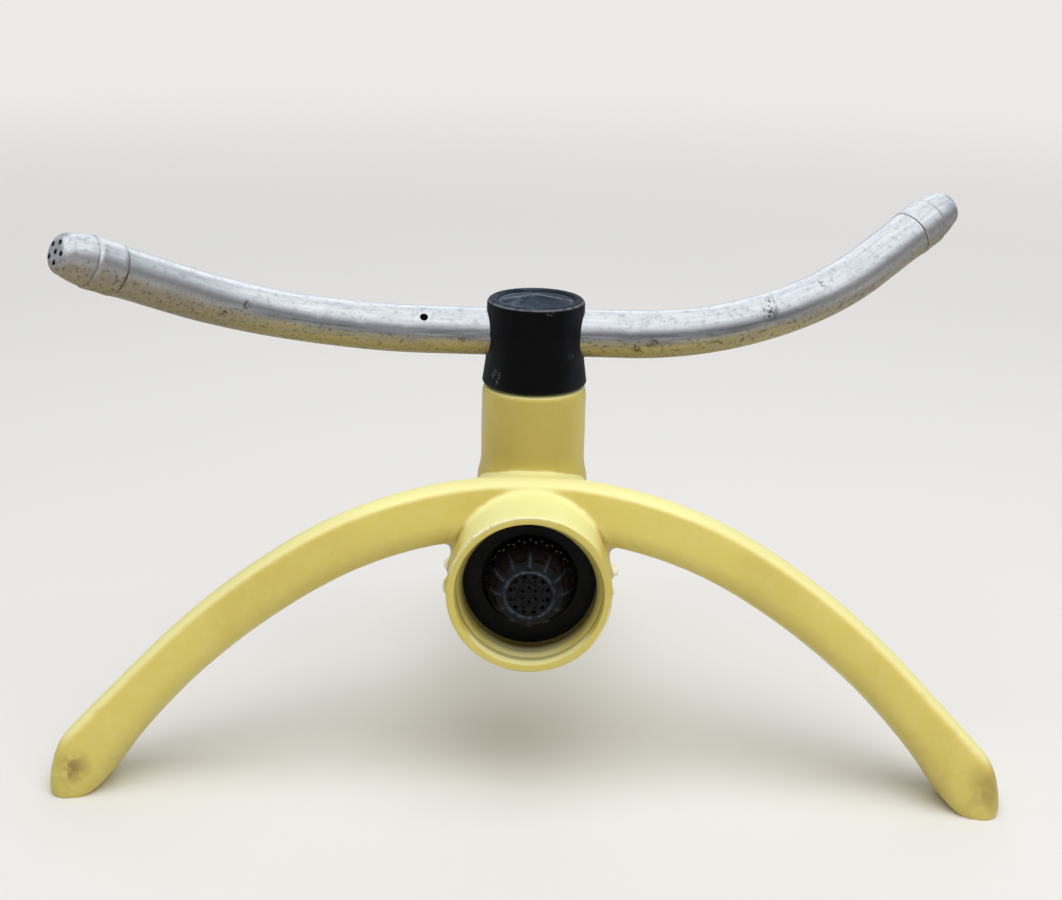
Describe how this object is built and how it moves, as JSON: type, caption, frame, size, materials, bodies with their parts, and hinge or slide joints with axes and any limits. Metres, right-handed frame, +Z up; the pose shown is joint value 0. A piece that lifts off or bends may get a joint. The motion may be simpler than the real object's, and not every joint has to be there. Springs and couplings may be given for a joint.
{
  "type": "garden sprinkler",
  "caption": "Rotary garden sprinkler: bent tube arms with perforated end caps spin on a moulded plastic base whose front socket takes a hose.",
  "frame": {"origin": "middle of the footprint, on the ground", "axes": "+Z up along the rotor's axis, -Y out of the hose socket, +X to the right as seen from the socket"},
  "size_m": [0.174, 0.1147, 0.1033],
  "materials": {
    "yellow_plastic": "moulded, lightly scuffed, half gloss",
    "black_rubber": "matt moulded rubber",
    "dark_strainer_plastic": "moulded, dull, with lime dust",
    "white_nylon": "turned nylon",
    "brass": "turned brass",
    "red_gasket": "punched fibre gasket",
    "black_plastic": "moulded, matt, dusty",
    "tube_aluminium": "drawn tube, brushed lengthwise, weathered",
    "cap_aluminium": "pressed cap, weathered"
  },
  "bodies": {
    "base": {"base_body": "yellow_plastic", "inlet_washer": "black_rubber", "inlet_strainer": "dark_strainer_plastic", "lower_thrust_washer": "white_nylon", "thrust_seal": "black_rubber", "upper_thrust_washer": "white_nylon", "bearing_bush": "brass", "bush_o_ring": "black_rubber", "wear_washer": "white_nylon"},
    "rotor": {"stem_gasket": "red_gasket", "rotor_stem": "brass", "rotor_hub": "black_plastic", "hub_top_cap": "black_plastic", "left_arm_tube": "tube_aluminium", "right_arm_tube": "tube_aluminium", "left_end_cap": "cap_aluminium", "right_end_cap": "cap_aluminium"}
  },
  "joints": [
    {"name": "rotor_spin", "type": "hinge", "parent": "base", "child": "rotor", "pos_m": [0, -0.02215, 0.071], "axis": [0, 0, 1], "continuous": true}
  ]
}
